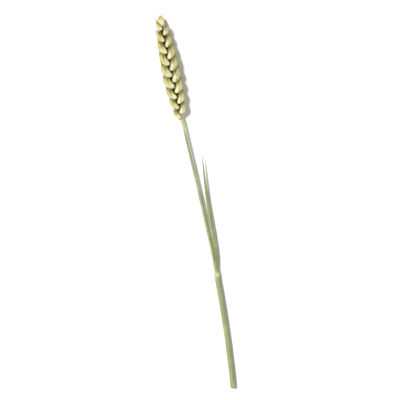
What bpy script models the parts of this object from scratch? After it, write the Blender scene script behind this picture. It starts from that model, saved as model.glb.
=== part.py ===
"""One ear of wheat on its own cut stalk, with the flag leaf, lying on its side.

Metres, +Z up. The stalk runs along +Y from its cut end to the ear's tip. The
floor is z = 0, and the origin is the middle of the box's bottom face.
"""

import math
import random

import bmesh
import bpy
import numpy as np
from mathutils import Matrix, Vector

MM = 0.001
SEED = 7
GAP = 0.3 * MM                    # clearance between one piece and the next
MERGE = 0.0002 * MM               # points closer than this become one

# Lengths along the stalk, from its cut end
SHEATH_LENGTH = 86.0 * MM         # to the leaf's collar
STALK_LENGTH = 201.0 * MM         # to the foot of the ear
EAR_LENGTH = 84.0 * MM            # from there to the tip of the last awn

# The middle line: it sways a little, and rises from the cut end to the ear
SWAY_STOPS = (0.0, 85.0 * MM, 140.0 * MM, 201.0 * MM, 285.0 * MM)
SWAY_AT_STOPS = (0.0, 4.8 * MM, 4.3 * MM, 2.4 * MM, 2.0 * MM)
SWAY = np.polyfit(SWAY_STOPS, SWAY_AT_STOPS, 4)
LEVEL_LENGTH = 30.0 * MM          # this much of it lies level at the cut end
CUT_HEIGHT = 2.05 * MM            # height of the middle line there
EAR_HEIGHT = 4.60 * MM            # and all along the ear
BOX_CENTRE_X = 3.68 * MM          # these two put the origin under the box's middle
BOX_CENTRE_Y = 142.43 * MM

# Stalk and leaf
STRAW_RADIUS_CUT = 1.25 * MM
STRAW_RADIUS_EAR = 1.0 * MM
STRAW_BORE = 0.65 * MM            # radius of the hollow at the cut end
STRAW_BORE_DEPTH = 14.0 * MM
SHEATH_INNER = STRAW_RADIUS_CUT + GAP
SHEATH_OUTER = 2.15 * MM
COLLAR_OUTER = 2.45 * MM
COLLAR_LENGTH = 3.0 * MM
STRAW_STICKS_OUT = 0.5 * MM       # of its sheath, at the cut end
THROAT_NOTCH = 8.0 * MM           # length of the slit down from the sheath's rim
THROAT_WIDTH = 1.8 * MM           # and its width at the rim
BLADE_LENGTH = 88.0 * MM
BLADE_THICKNESS = 0.6 * MM
BLADE_LEG = 3.4 * MM              # half of the folded blade's flat width
BLADE_CLASP = 12.0 * MM           # over this length it opens from clasp to fold
BLADE_TIP = 0.3 * MM
BLADE_WRAP = math.radians(105.0)  # how far its foot reaches round the straw, each way
BLADE_FOLD = (38.0, 26.0)         # half the angle between its legs, at the foot and past the middle
BLADE_TWIST = (6.0, 60.0)         # its turn about its length, at the foot and at the tip
BLADE_SINK = 1.4 * MM             # how far the tip hangs below the straw
FOLD_STARTS_OFF = 1.6 * MM        # from the straw's middle to the fold, at the collar
FOLD_SWINGS_OFF = 3.0 * MM        # then it swings out this much further
SWING_LENGTH = 12.0 * MM          # in about this length
FOLD_ENDS_OFF = (1.0 * MM, 3.2 * MM)  # and by this at the tip, evenly and curving away
AURICLE_REACH = 2.05 * MM
AURICLE_RADIUS = 0.38 * MM

# The ear
SPIKELETS = 17                    # in two rows, by turns right and left
FIRST_SPIKELET = 3.4 * MM         # above the foot of the ear
LAST_SPIKELET = 70.0 * MM
TIP_SPIKELET = 72.6 * MM
RACHIS_WIDTH = 2.0 * MM           # across the rows
RACHIS_THICKNESS = 1.5 * MM       # up and down
RACHIS_ZIGZAG = 0.45 * MM         # its corners stand out towards their spikelets
SPIKELET_ROOT = 0.4 * MM          # from a corner out to the spikelet's foot
CLIMB = (0.80, 0.32, -0.12)       # spacing up the ear: shares of t, t squared and t cubed
SHRINK_AT_FOOT = 0.36             # spikelets are smaller towards the ear's foot
SHRINK_AT_TIP = 0.36              # and a little towards its tip
TIP_SIZE = 0.70                   # size of the spikelet at the very tip
TIP_SPREAD = 0.5                  # and how far its husks spread, against the others
SPLAY = math.radians(26.0)        # lean of a spikelet away from the rachis
SPLAY_LESS_AT_TIP = 0.35
WOBBLE = 1.5                      # degrees that a spikelet or a husk may lean either way
CORE = (9.2 * MM, 1.8 * MM, 2.8 * MM)  # length, half width and half height of a spikelet's body
CORE_TUCK = 1.2 * MM              # its tip leans this far back towards the rachis
AWN = (1.2 * MM, 1.6 * MM)        # awn of a lemma at the ear's foot, and what it gains to the tip
AWN_SPREAD = 0.9 * MM
TIP_AWN = 2.5 * MM
GLUME_POINT = 0.5 * MM
HUSK_BELLY = 0.05                 # a husk's back curves out by this share of its length
HUSK_BEND = 0.03                  # and all of it bows away from the rachis by this share
HUSK_NOD = 0.04                   # its tip nods in by this share

# The husks of a spikelet. Each has its foot's place (along, out, aside), its lean aside and
# outward in degrees, the way it faces (out, aside), and its length, width and depth.
GLUME = ((-0.5 * MM, -0.7 * MM, 1.5 * MM), (10.0, 0.0), (0.35, 0.94), (10.0 * MM, 4.2 * MM, 1.8 * MM))
LEMMA = ((0.6 * MM, 0.5 * MM, 1.1 * MM), (13.0, -1.5), (0.75, 0.65), (12.2 * MM, 4.4 * MM, 1.7 * MM))
MIDDLE_LEMMA = ((1.6 * MM, 0.6 * MM, 0.2 * MM), (3.0, -3.0), (1.0, 0.12),
                (11.6 * MM, 4.6 * MM, 1.6 * MM))

# A husk's section from its keel round: shares of its half width and of its depth
HUSK_SECTION = ((0.0, 1.08), (-0.7, 0.72), (-1.0, -0.15), (1.0, -0.15), (0.7, 0.72))
# Its rings: share of its length, of its width there and of its depth
HUSK_RINGS = ((0.05, 0.62, 0.55), (0.30, 1.0, 1.0), (0.66, 0.76, 0.84), (0.92, 0.22, 0.34))

FLOOR_BLOCK = (0.2, 0.6, 0.02)    # the cutter that makes the flat spots to rest on


def clear_scene():
    for item in list(bpy.data.objects):
        bpy.data.objects.remove(item, do_unlink=True)


def new_collection(name):
    collection = bpy.data.collections.new(name)
    bpy.context.scene.collection.children.link(collection)
    return collection


def material(name, colour, roughness):
    """A plain Principled material."""
    made = bpy.data.materials.new(name)
    made.use_nodes = True
    shader = made.node_tree.nodes["Principled BSDF"]
    shader.inputs["Base Color"].default_value = (*colour, 1.0)
    shader.inputs["Roughness"].default_value = roughness
    shader.inputs["Metallic"].default_value = 0.0
    return made


def smooth(share):
    """Ease from 0 to 1."""
    share = min(max(share, 0.0), 1.0)
    return share * share * (3.0 - 2.0 * share)


def middle_line(distance):
    """Point of the middle line at a distance from the cut end."""
    rise = smooth((distance - LEVEL_LENGTH) / (STALK_LENGTH - LEVEL_LENGTH))
    height = CUT_HEIGHT + (EAR_HEIGHT - CUT_HEIGHT) * rise
    return Vector((np.polyval(SWAY, distance) - BOX_CENTRE_X, distance - BOX_CENTRE_Y, height))


def line_axes(distance):
    """Unit vectors along the middle line, to its right and up."""
    step = 0.5 * MM
    along = (middle_line(distance + step) - middle_line(distance - step)).normalized()
    right = along.cross(Vector((0.0, 0.0, 1.0))).normalized()
    return along, right, right.cross(along)


def add_loft(bm, rings, start=None, end=None):
    """Skin a row of rings with triangles, each end closed to a point or by a fan."""
    loops = [[bm.verts.new(point) for point in ring] for ring in rings]
    count = len(loops[0])
    for near, far in zip(loops, loops[1:]):
        for i in range(count):
            j = (i + 1) % count
            bm.faces.new((near[i], near[j], far[j]))
            bm.faces.new((near[i], far[j], far[i]))
    for loop, point, turned in ((loops[0], start, True), (loops[-1], end, False)):
        if point is None:
            point = sum((vert.co for vert in loop), Vector()) / count
        tip = bm.verts.new(point)
        for i in range(count):
            pair = (loop[(i + 1) % count], loop[i]) if turned else (loop[i], loop[(i + 1) % count])
            bm.faces.new((*pair, tip))


def mesh_object(name, bm, collection):
    """A new object from a bmesh, its faces turned outward."""
    bmesh.ops.recalc_face_normals(bm, faces=bm.faces)
    mesh = bpy.data.meshes.new(name)
    bm.to_mesh(mesh)
    bm.free()
    made = bpy.data.objects.new(name, mesh)
    collection.objects.link(made)
    return made


def tube(name, points, radii, collection, resolution=4):
    """A closed tube along a row of points, as a mesh."""
    curve = bpy.data.curves.new(name, "CURVE")
    curve.dimensions = "3D"
    curve.bevel_depth = 1.0
    curve.bevel_resolution = resolution
    curve.use_fill_caps = True
    spline = curve.splines.new("POLY")
    spline.points.add(len(points) - 1)
    for knot, point, radius in zip(spline.points, points, radii):
        knot.co = (*point, 1.0)
        knot.radius = radius
    guide = bpy.data.objects.new(name + "_guide", curve)
    collection.objects.link(guide)
    bpy.context.view_layer.update()
    evaluated = guide.evaluated_get(bpy.context.evaluated_depsgraph_get())
    mesh = bpy.data.meshes.new_from_object(evaluated)
    bpy.data.objects.remove(guide, do_unlink=True)
    bm = bmesh.new()
    bm.from_mesh(mesh)
    bpy.data.meshes.remove(mesh)
    bmesh.ops.remove_doubles(bm, verts=bm.verts, dist=0.001 * MM)
    return mesh_object(name, bm, collection)


def combine(base, others, operation, solver="EXACT"):
    """Join the other objects to the base, or cut them from it, and remove them."""
    helpers = bpy.data.collections.new(base.name + "_helpers")
    bpy.context.scene.collection.children.link(helpers)
    for other in others:
        for holder in list(other.users_collection):
            holder.objects.unlink(other)
        helpers.objects.link(other)
    boolean = base.modifiers.new(operation, "BOOLEAN")
    boolean.operation = operation
    boolean.operand_type = "COLLECTION"
    boolean.collection = helpers
    boolean.solver = solver
    bpy.context.view_layer.update()
    evaluated = base.evaluated_get(bpy.context.evaluated_depsgraph_get())
    mesh = bpy.data.meshes.new_from_object(evaluated)
    base.modifiers.clear()
    base.data = mesh
    for other in list(helpers.objects):
        bpy.data.objects.remove(other, do_unlink=True)
    bpy.data.collections.remove(helpers)


def body_volume(faces):
    """Signed volume inside a set of triangles."""
    return sum(f.verts[0].co.dot(f.verts[1].co.cross(f.verts[2].co)) for f in faces) / 6.0


def keep_outer_body(item):
    """Drop loose scraps and sealed hollows, so that one closed body is left."""
    bm = bmesh.new()
    bm.from_mesh(item.data)
    bmesh.ops.remove_doubles(bm, verts=bm.verts, dist=MERGE)
    bmesh.ops.dissolve_degenerate(bm, edges=bm.edges, dist=MERGE)
    bmesh.ops.triangulate(bm, faces=bm.faces)
    waiting = set(bm.faces)
    bodies = []
    while waiting:
        stack = [waiting.pop()]
        body = []
        while stack:
            face = stack.pop()
            body.append(face)
            for edge in face.edges:
                for other in edge.link_faces:
                    if other in waiting:
                        waiting.remove(other)
                        stack.append(other)
        bodies.append(body)
    bodies.sort(key=body_volume)
    for body in bodies[:-1]:
        bmesh.ops.delete(bm, geom=body, context="FACES")
    loose = [vert for vert in bm.verts if not vert.link_faces]
    bmesh.ops.delete(bm, geom=loose, context="VERTS")
    bm.to_mesh(item.data)
    bm.free()


def shade(item, degrees):
    """Smooth the faces, but keep edges sharper than an angle."""
    item.data.shade_smooth()
    item.data.set_sharp_from_angle(angle=math.radians(degrees))


def floor_block(collection):
    """A block whose top is the floor, which cuts the flat spots to rest on."""
    bm = bmesh.new()
    below = Matrix.Translation((0.0, 0.0, -0.5 * FLOOR_BLOCK[2]))
    bmesh.ops.create_cube(bm, size=1.0, matrix=below @ Matrix.Diagonal((*FLOOR_BLOCK, 1.0)))
    return mesh_object("floor_block", bm, collection)


def add_husk(bm, root, along, facing, bend, length, width, depth, awn):
    """One boat-shaped husk, keeled on the side that it faces, ending in its awn."""
    facing = (facing - along * facing.dot(along)).normalized()
    across = along.cross(facing)
    bulge = (facing * HUSK_BELLY + bend) * length
    rings = []
    for u, wide, deep in HUSK_RINGS:
        centre = root + along * (length * u) + bulge * math.sin(math.pi * u)
        reach = across * (0.5 * width * wide)
        rise = facing * (depth * deep)
        rings.append([centre + reach * c + rise * o for c, o in HUSK_SECTION])
    tip = root + along * (length + awn) - facing * (HUSK_NOD * length)
    add_loft(bm, rings, start=root, end=tip)


def leaning(axis, towards, angle):
    """A unit axis leaned towards another by an angle."""
    return (axis * math.cos(angle) + towards * math.sin(angle)).normalized()


def spikelet_husks(root, along, out, fan, size, awn, draw, spread=1.0):
    """The husks of one spikelet, as the values that shape each."""
    husks = []

    def husk(form, side, beard):
        foot, lean, facing, shape = form
        side *= spread
        axis = leaning(along, fan, math.radians(lean[0] * side + draw.uniform(-WOBBLE, WOBBLE)))
        axis = leaning(axis, out, math.radians(lean[1] + draw.uniform(-WOBBLE, WOBBLE)))
        start = root + (along * foot[0] + out * foot[1] + fan * (foot[2] * side)) * size
        face = out * facing[0] + fan * (facing[1] * side)
        husks.append((start, axis, face, out * HUSK_BEND, *[value * size for value in shape], beard))

    for side in (-1.0, 1.0):
        husk(GLUME, side, GLUME_POINT)
        husk(LEMMA, side, awn)
    husk(MIDDLE_LEMMA, draw.choice((-1.0, 1.0)), 0.8 * awn)
    return husks


def spikelet_distance(i):
    """Where a spikelet grows from the rachis; they stand closer at the ear's foot."""
    t = i / (SPIKELETS - 1)
    climb = CLIMB[0] * t + CLIMB[1] * t ** 2 + CLIMB[2] * t ** 3
    return STALK_LENGTH + FIRST_SPIKELET + (LAST_SPIKELET - FIRST_SPIKELET) * climb


def spikelet_row(i):
    return 1.0 if i % 2 else -1.0


def spikelet_size(i):
    """Full size at the middle of the ear, less at its foot and its tip."""
    t = i / (SPIKELETS - 1)
    shrink = SHRINK_AT_FOOT if t < 0.5 else SHRINK_AT_TIP
    return 1.0 - shrink * (1.0 - 2.0 * t) ** 2


def ear_plan():
    """Each spikelet's root, axes, size and husks, from the foot of the ear to its tip."""
    draw = random.Random(SEED)
    plan = []
    for i in range(SPIKELETS):
        t = i / (SPIKELETS - 1)
        distance = spikelet_distance(i)
        along, right, up = line_axes(distance)
        out = right * spikelet_row(i)
        size = spikelet_size(i)
        splay = SPLAY * (1.0 - SPLAY_LESS_AT_TIP * t * t) + math.radians(draw.uniform(-WOBBLE, WOBBLE))
        root = middle_line(distance) + out * (RACHIS_ZIGZAG + SPIKELET_ROOT)
        axis = leaning(along, out, splay)
        outward = leaning(out, -along, splay)
        awn = AWN[0] + AWN[1] * t * t + draw.uniform(0.0, AWN_SPREAD)
        husks = spikelet_husks(root, axis, outward, up, size, awn, draw)
        plan.append((root, axis, outward, up, size, husks))
    along, right, up = line_axes(STALK_LENGTH + TIP_SPIKELET)
    root = middle_line(STALK_LENGTH + TIP_SPIKELET)
    husks = spikelet_husks(root, along, up, right, TIP_SIZE, TIP_AWN, draw, TIP_SPREAD)
    plan.append((root, along, up, right, TIP_SIZE, husks))
    return plan


def oval_ring(centre, right, up, across, high, sides):
    turns = [math.tau * k / sides for k in range(sides)]
    return [centre + right * (across * math.cos(a)) + up * (high * math.sin(a)) for a in turns]


def add_rachis(bm):
    """The ear's zigzag stem, flattened, from its foot to the spikelet at its tip."""
    corners = [(STALK_LENGTH, 0.0), (STALK_LENGTH + 2.0 * MM, 0.0)]
    for i in range(SPIKELETS):
        corners.append((spikelet_distance(i), spikelet_row(i)))
        corners.append((0.5 * (spikelet_distance(i) + spikelet_distance(i + 1)), 0.0))
    rings = []
    for distance, side in corners:
        along, right, up = line_axes(distance)
        height = (distance - STALK_LENGTH) / EAR_LENGTH
        fade = smooth(height * 12.0)
        taper = 1.0 - 0.35 * height
        across = (STRAW_RADIUS_EAR + (0.5 * RACHIS_WIDTH - STRAW_RADIUS_EAR) * fade) * taper
        high = (STRAW_RADIUS_EAR + (0.5 * RACHIS_THICKNESS - STRAW_RADIUS_EAR) * fade) * taper
        across *= 1.0 + 0.2 * abs(side) * fade
        centre = middle_line(distance) + right * (RACHIS_ZIGZAG * side * fade)
        rings.append(oval_ring(centre, right, up, across, high, 8))
    add_loft(bm, rings)


def add_spikelet_core(bm, root, along, out, fan, size):
    """The florets' closed body, which the husks stand out of."""
    length, wide, high = (value * size for value in CORE)
    rings = []
    for u in (0.0, 0.45, 0.95):
        centre = root + along * (length * u) - out * (CORE_TUCK * u * size)
        swell = math.sin(math.pi * (0.16 + 0.72 * u))
        rings.append(oval_ring(centre, out, fan, wide * swell, high * swell, 6))
    add_loft(bm, rings)


def build_ear(parts, cutters):
    """The whole head in one body: rachis and husks fused, rested on the floor."""
    bm = bmesh.new()
    add_rachis(bm)
    ear = mesh_object("ear", bm, parts)
    husks = []
    for number, (root, along, out, fan, size, shapes) in enumerate(ear_plan()):
        bm = bmesh.new()
        add_spikelet_core(bm, root, along, out, fan, size)
        husks.append(mesh_object(f"core_{number}", bm, cutters))
        for values in shapes:
            bm = bmesh.new()
            add_husk(bm, *values)
            husks.append(mesh_object(f"husk_{number}", bm, cutters))
    combine(ear, husks, "UNION")
    combine(ear, [floor_block(cutters)], "DIFFERENCE")
    keep_outer_body(ear)
    shade(ear, 50.0)
    ear.data.materials.clear()
    ear.data.materials.append(material("straw_gold_husk", (0.62, 0.52, 0.25), 0.6))
    return ear


def build_straw(parts, cutters):
    """The stem from its cut end to just short of the ear, hollow at the cut."""
    top = STALK_LENGTH - GAP
    count = 34
    stops = [top * i / count for i in range(count + 1)]
    taper = STRAW_RADIUS_EAR - STRAW_RADIUS_CUT
    radii = [STRAW_RADIUS_CUT + taper * smooth(y / STALK_LENGTH) for y in stops]
    straw = tube("straw", [middle_line(y) for y in stops], radii, parts, resolution=3)
    hollow = [middle_line(y) for y in (-2.0 * MM, 0.5 * STRAW_BORE_DEPTH, STRAW_BORE_DEPTH)]
    bore = tube("straw_bore", hollow, [STRAW_BORE] * 3, cutters, resolution=2)
    combine(straw, [bore], "DIFFERENCE")
    keep_outer_body(straw)
    shade(straw, 40.0)
    straw.data.materials.append(material("sage_green_straw", (0.30, 0.36, 0.17), 0.5))
    return straw


def sheath_outer_radius(y):
    """The sheath swells to its collar and draws in again at the rim."""
    bump = math.exp(-((y - SHEATH_LENGTH + 1.2 * MM) / (0.5 * COLLAR_LENGTH)) ** 2)
    return SHEATH_OUTER + (COLLAR_OUTER - SHEATH_OUTER) * bump


def blade_section(distance, steps):
    """A row of points across the blade: a clasp round the straw, then a fold beside it."""
    along, right, up = line_axes(distance)
    centre = middle_line(distance)
    height = distance - SHEATH_LENGTH
    v = max(height / BLADE_LENGTH, 0.0)
    fold = smooth(height / BLADE_CLASP)
    swing = FOLD_SWINGS_OFF * (1.0 - math.exp(-v * BLADE_LENGTH / SWING_LENGTH))
    stand_off = FOLD_STARTS_OFF + swing + FOLD_ENDS_OFF[0] * v + FOLD_ENDS_OFF[1] * v ** 3
    spine = centre + right * stand_off - up * (BLADE_SINK * v)
    taper = (1.0 - min(v, 1.0) ** 2.2) ** 0.8
    leg = BLADE_LEG * (0.85 + 0.15 * smooth(v / 0.35)) * taper + BLADE_TIP
    half_fold = math.radians(BLADE_FOLD[0] + (BLADE_FOLD[1] - BLADE_FOLD[0]) * smooth(v / 0.6))
    twist = BLADE_TWIST[0] + (BLADE_TWIST[1] - BLADE_TWIST[0]) * smooth((v - 0.15) / 0.85)
    row = []
    for k in range(steps + 1):
        w = 2.0 * k / steps - 1.0
        turn = BLADE_WRAP * w
        clasp = centre + (right * math.cos(turn) + up * math.sin(turn)) * (SHEATH_INNER + 0.15 * MM)
        lean = math.radians(twist) + math.copysign(half_fold, w)
        reach = (up * math.sin(lean) - right * math.cos(lean)) * (leg * abs(w))
        row.append(clasp.lerp(spine + reach, fold))
    return row


def blade_surface(bm):
    """The blade as an open sheet."""
    steps = 6
    rows = 26
    grid = []
    for i in range(rows + 1):
        distance = SHEATH_LENGTH - 2.0 * MM + (BLADE_LENGTH + 2.0 * MM) * (i / rows) ** 1.15
        grid.append([bm.verts.new(point) for point in blade_section(distance, steps)])
    for near, far in zip(grid, grid[1:]):
        for k in range(steps):
            bm.faces.new((near[k], near[k + 1], far[k + 1]))
            bm.faces.new((near[k], far[k + 1], far[k]))


def build_leaf(parts, cutters):
    """Sheath, collar, auricles and blade in one body."""
    count = 16
    run = SHEATH_LENGTH - STRAW_STICKS_OUT - 5.0 * MM
    stops = [STRAW_STICKS_OUT + run * i / count for i in range(count + 1)]
    stops += [SHEATH_LENGTH - back * MM for back in (3.6, 2.4, 1.2, 0.0)]
    leaf = tube("flag_leaf", [middle_line(y) for y in stops],
                [sheath_outer_radius(y) for y in stops], parts)
    ends = [middle_line(y) for y in (-2.0 * MM, *stops[1:-1], SHEATH_LENGTH + 2.0 * MM)]
    inside = tube("sheath_inside", ends, [SHEATH_INNER] * len(ends), cutters)
    combine(leaf, [inside, throat_notch(cutters)], "DIFFERENCE")

    bm = bmesh.new()
    blade_surface(bm)
    blade = mesh_object("blade", bm, cutters)
    shell = blade.modifiers.new("thickness", "SOLIDIFY")
    shell.thickness = BLADE_THICKNESS
    shell.offset = 1.0
    bpy.context.view_layer.update()
    evaluated = blade.evaluated_get(bpy.context.evaluated_depsgraph_get())
    blade.data = bpy.data.meshes.new_from_object(evaluated)
    blade.modifiers.clear()
    combine(leaf, [blade, *auricles(cutters)], "UNION")
    combine(leaf, [floor_block(cutters)], "DIFFERENCE")
    keep_outer_body(leaf)
    shade(leaf, 40.0)
    leaf.data.materials.append(material("sage_green_leaf", (0.33, 0.40, 0.19), 0.6))
    return leaf


def throat_notch(collection):
    """The wedge that opens the sheath's rim on the side away from the blade."""
    bm = bmesh.new()
    rings = []
    for distance, width in ((SHEATH_LENGTH - THROAT_NOTCH, 0.1 * MM),
                            (SHEATH_LENGTH + 1.0 * MM, THROAT_WIDTH)):
        along, right, up = line_axes(distance)
        near = middle_line(distance) - right * (0.5 * SHEATH_INNER)
        far = middle_line(distance) - right * (2.0 * SHEATH_OUTER)
        half = up * (0.5 * width)
        rings.append([near - half, near + half, far + half, far - half])
    add_loft(bm, rings)
    return mesh_object("throat_notch", bm, collection)


def auricles(collection):
    """The two small hooks that curl from the collar round the straw."""
    along, right, up = line_axes(SHEATH_LENGTH)
    centre = middle_line(SHEATH_LENGTH - 0.8 * MM)
    made = []
    for side in (-1.0, 1.0):
        points = []
        for k in range(5):
            turn = math.radians(95.0 + 13.0 * k)
            reach = AURICLE_REACH + 0.12 * MM * k
            spoke = right * math.cos(turn) + up * (side * math.sin(turn))
            points.append(centre + spoke * reach + along * (0.35 * MM * k))
        radii = [AURICLE_RADIUS - 0.05 * MM * k for k in range(5)]
        made.append(tube(f"auricle_{side:+.0f}", points, radii, collection, resolution=1))
    return made


def main():
    clear_scene()
    parts = new_collection("wheat_ear")
    cutters = new_collection("cutters")
    build_ear(parts, cutters)
    build_straw(parts, cutters)
    build_leaf(parts, cutters)


main()
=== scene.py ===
"""The looks of a dried ear of wheat on its cut stalk, with the leaf that clasps the stalk.

Metres, +Z up. The stalk runs along +Y from its cut end to the ear's tip, and the floor is
z = 0. The middle line and the plan of the ear follow the same rules as the solids, so each
fine glume and lemma lies where the plain one does. A spikelet's fourth lemma and its paleas
are added here.
"""

import math
import random

import bpy
import numpy as np
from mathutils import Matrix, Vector


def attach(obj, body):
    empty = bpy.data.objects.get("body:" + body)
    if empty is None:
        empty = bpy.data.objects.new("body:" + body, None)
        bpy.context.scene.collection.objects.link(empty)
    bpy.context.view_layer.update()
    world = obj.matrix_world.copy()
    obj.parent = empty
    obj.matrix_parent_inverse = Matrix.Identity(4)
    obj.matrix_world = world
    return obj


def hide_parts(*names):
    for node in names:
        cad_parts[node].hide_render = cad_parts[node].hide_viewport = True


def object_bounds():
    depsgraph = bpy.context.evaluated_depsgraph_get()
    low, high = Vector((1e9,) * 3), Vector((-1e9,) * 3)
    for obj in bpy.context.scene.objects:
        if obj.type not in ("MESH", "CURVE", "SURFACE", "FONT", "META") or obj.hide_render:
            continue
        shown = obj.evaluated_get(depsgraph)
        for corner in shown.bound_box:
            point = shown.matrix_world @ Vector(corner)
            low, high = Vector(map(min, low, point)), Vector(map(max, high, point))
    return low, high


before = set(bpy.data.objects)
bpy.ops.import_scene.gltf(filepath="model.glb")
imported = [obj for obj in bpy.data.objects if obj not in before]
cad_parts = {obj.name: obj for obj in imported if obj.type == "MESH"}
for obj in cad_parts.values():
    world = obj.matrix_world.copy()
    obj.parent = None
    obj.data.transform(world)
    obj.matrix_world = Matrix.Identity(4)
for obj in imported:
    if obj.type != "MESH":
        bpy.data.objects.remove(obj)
cad_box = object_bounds()

MM = 0.001
SEED = 7

# Lengths along the stalk, from its cut end
SHEATH_LENGTH = 86.0 * MM         # to the leaf's collar
STALK_LENGTH = 201.0 * MM         # to the foot of the ear
EAR_LENGTH = 84.0 * MM            # from there to the tip of the last awn

# The middle line of the stalk and the ear
SWAY_STOPS = (0.0, 85.0 * MM, 140.0 * MM, 201.0 * MM, 285.0 * MM)
SWAY_AT_STOPS = (0.0, 4.8 * MM, 4.3 * MM, 2.4 * MM, 2.0 * MM)
SWAY = np.polyfit(SWAY_STOPS, SWAY_AT_STOPS, 4)
LEVEL_LENGTH = 30.0 * MM          # this much of it lies level at the cut end
CUT_HEIGHT = 2.05 * MM            # height of the middle line there
EAR_HEIGHT = 4.60 * MM            # and all along the ear
BOX_CENTRE_X = 3.68 * MM          # these two put the origin under the box's middle
BOX_CENTRE_Y = 142.43 * MM
FLOOR_CLEAR = 0.02 * MM           # nothing comes closer to the floor than this

# Stalk
STRAW_RADIUS_CUT = 1.25 * MM
STRAW_RADIUS_EAR = 1.0 * MM
STRAW_BORE = 0.65 * MM            # radius of the hollow at the cut end
STRAW_BORE_DEPTH = 14.0 * MM
STRAW_INTO_EAR = 0.6 * MM         # it runs on this far into the ear
STRAW_RAGGED = 0.05 * MM          # unevenness of its cut
STRAW_GROOVES = 16.0              # fine grooves along it
STRAW_GROOVE = 0.008              # and their depth, as a share of its radius
STRAW_TRIM = 0.018                # it is thinner than the solid one by this share
# Its swellings and the waves of its cut: height, waves round it, radians a millimetre, start
STRAW_WAVES = ((0.018, 3.0, 0.031, 0.0), (0.010, 5.0, -0.07, 1.0))
STRAW_CUT_WAVES = ((1.0, 3.0, 0.0, 1.3), (0.8, 7.0, 0.0, 0.0), (0.9, 13.0, 0.0, 2.0))

# Sheath and collar
SHEATH_INNER = 1.55 * MM
SHEATH_OUTER = 2.15 * MM
SHEATH_SKIN = 0.28 * MM           # thickness of the sheath's sheet
SHEATH_TRIM = 0.10 * MM           # its radius is less than the solid one's by this
SHEATH_WAVES = ((0.008, 2.0, 0.05, 0.0), (0.006, 1.0, 0.13, 0.0))
SHEATH_STARTS = 0.5 * MM          # from the straw's cut end
SHEATH_OVERLAP = 14.0             # degrees that each margin runs past the seam
SHEATH_LAP = 0.16 * MM            # step from one margin down to the other
SHEATH_RIBS = 17.0                # half the number of ribs round it
SHEATH_RIB = 0.028 * MM           # and their height
SHEATH_RAGGED = 0.06 * MM
COLLAR_OUTER = 2.45 * MM
COLLAR_LENGTH = 3.0 * MM
COLLAR_BULGE = 1.2 * MM           # it is widest this far below the rim
COLLAR_PALE = (0.6 * MM, 2.0 * MM)  # palest this far below the rim, fading over this length
COLLAR_HOOKS = 0.8 * MM           # auricles and ligule start this far below the rim
THROAT_NOTCH = 8.0 * MM
THROAT_OPEN = 24.0                # degrees that each margin draws back at the rim
AURICLE_REACH = 2.05 * MM
AURICLE_RADIUS = 0.38 * MM
AURICLE_STEPS = (-0.3, 4.3)       # where its foot and its tip are, counted in steps
AURICLE_TAPER = 4.75              # steps in which it would narrow to nothing
AURICLE_TURN = (95.0, 13.0)       # degrees round the straw at step 0, and more for each step
AURICLE_RISE = (0.12 * MM, 0.35 * MM)  # outward and along the straw for each step
AURICLE_FLAT = 0.55               # its thickness outward as a share of that along the straw
LIGULE_HEIGHT = 1.1 * MM
LIGULE_RAGGED = 0.22 * MM
LIGULE_RADIUS = 1.42 * MM
LIGULE_SKIN = 0.06 * MM

# Blade
BLADE_LENGTH = 88.0 * MM          # from the collar
BLADE_STARTS = 2.0 * MM           # below the collar
BLADE_CLEAR = 0.35 * MM           # from the sheath's inner wall to the blade, at its clasp
BLADE_SKIN = 0.26 * MM
BLADE_LEG = 3.4 * MM              # half of the folded blade's flat width
BLADE_CLASP = 12.0 * MM           # over this length it opens from clasp to fold
BLADE_TIP = 0.3 * MM
BLADE_FOOT_WIDTH = 0.85           # its foot's share of the full width
BLADE_FULL_AT = 0.35              # and the share of its length where it is full
BLADE_TAPER = (2.2, 0.8)          # powers that shape how it narrows to its tip
BLADE_EDGE = (0.02, 31.0)         # waves of its margins: share of its width, radians along it
BLADE_WRAP = math.radians(105.0)  # how far its foot reaches round the straw, each way
BLADE_FOLD = (38.0, 26.0)         # half the angle between its legs, at the foot and past the middle
FOLD_SET_AT = 0.6                 # share of its length where that second angle is reached
BLADE_TWIST = (6.0, 60.0)         # its turn about its length, at the foot and at the tip
TWIST_FROM = 0.15                 # share of its length where the turn begins
BLADE_SINK = 1.4 * MM             # how far the tip hangs below the straw
BLADE_ROUND = 0.12                # how softly it bends at its fold
BLADE_RIBS = 11.0                 # ribs on each of its legs
BLADE_RIB = 0.03 * MM
MIDRIB = 0.16 * MM
FOLD_STARTS_OFF = 1.6 * MM        # from the straw's middle to the fold, at the collar
FOLD_SWINGS_OFF = 3.0 * MM        # then it swings out this much further
SWING_LENGTH = 12.0 * MM          # in about this length
FOLD_ENDS_OFF = (1.0 * MM, 3.2 * MM)  # and by this at the tip, evenly and curving away

# The ear
SPIKELETS = 17                    # in two rows, by turns right and left
FIRST_SPIKELET = 3.4 * MM         # above the foot of the ear
LAST_SPIKELET = 70.0 * MM
TIP_SPIKELET = 72.6 * MM
CLIMB = (0.80, 0.32, -0.12)       # spacing up the ear: shares of t, t squared and t cubed
SHRINK_AT_FOOT = 0.36             # spikelets are smaller towards the ear's foot
SHRINK_AT_TIP = 0.36              # and towards its tip
TIP_SIZE = 0.70                   # size of the spikelet at the very tip
TIP_SPREAD = 0.5                  # and how far its husks spread, against the others
SPLAY = math.radians(26.0)        # lean of a spikelet away from the rachis
SPLAY_LESS_AT_TIP = 0.35
WOBBLE = 1.5                      # degrees that a spikelet or a husk may lean either way
HALF_SPIKELET = 6.0 * MM          # about half a spikelet's length
HEAD_HALF_WIDTH = 5.6 * MM        # outside these two no painted shade of the gaps lies on the head
HEAD_HALF_HEIGHT = 4.7 * MM

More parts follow.
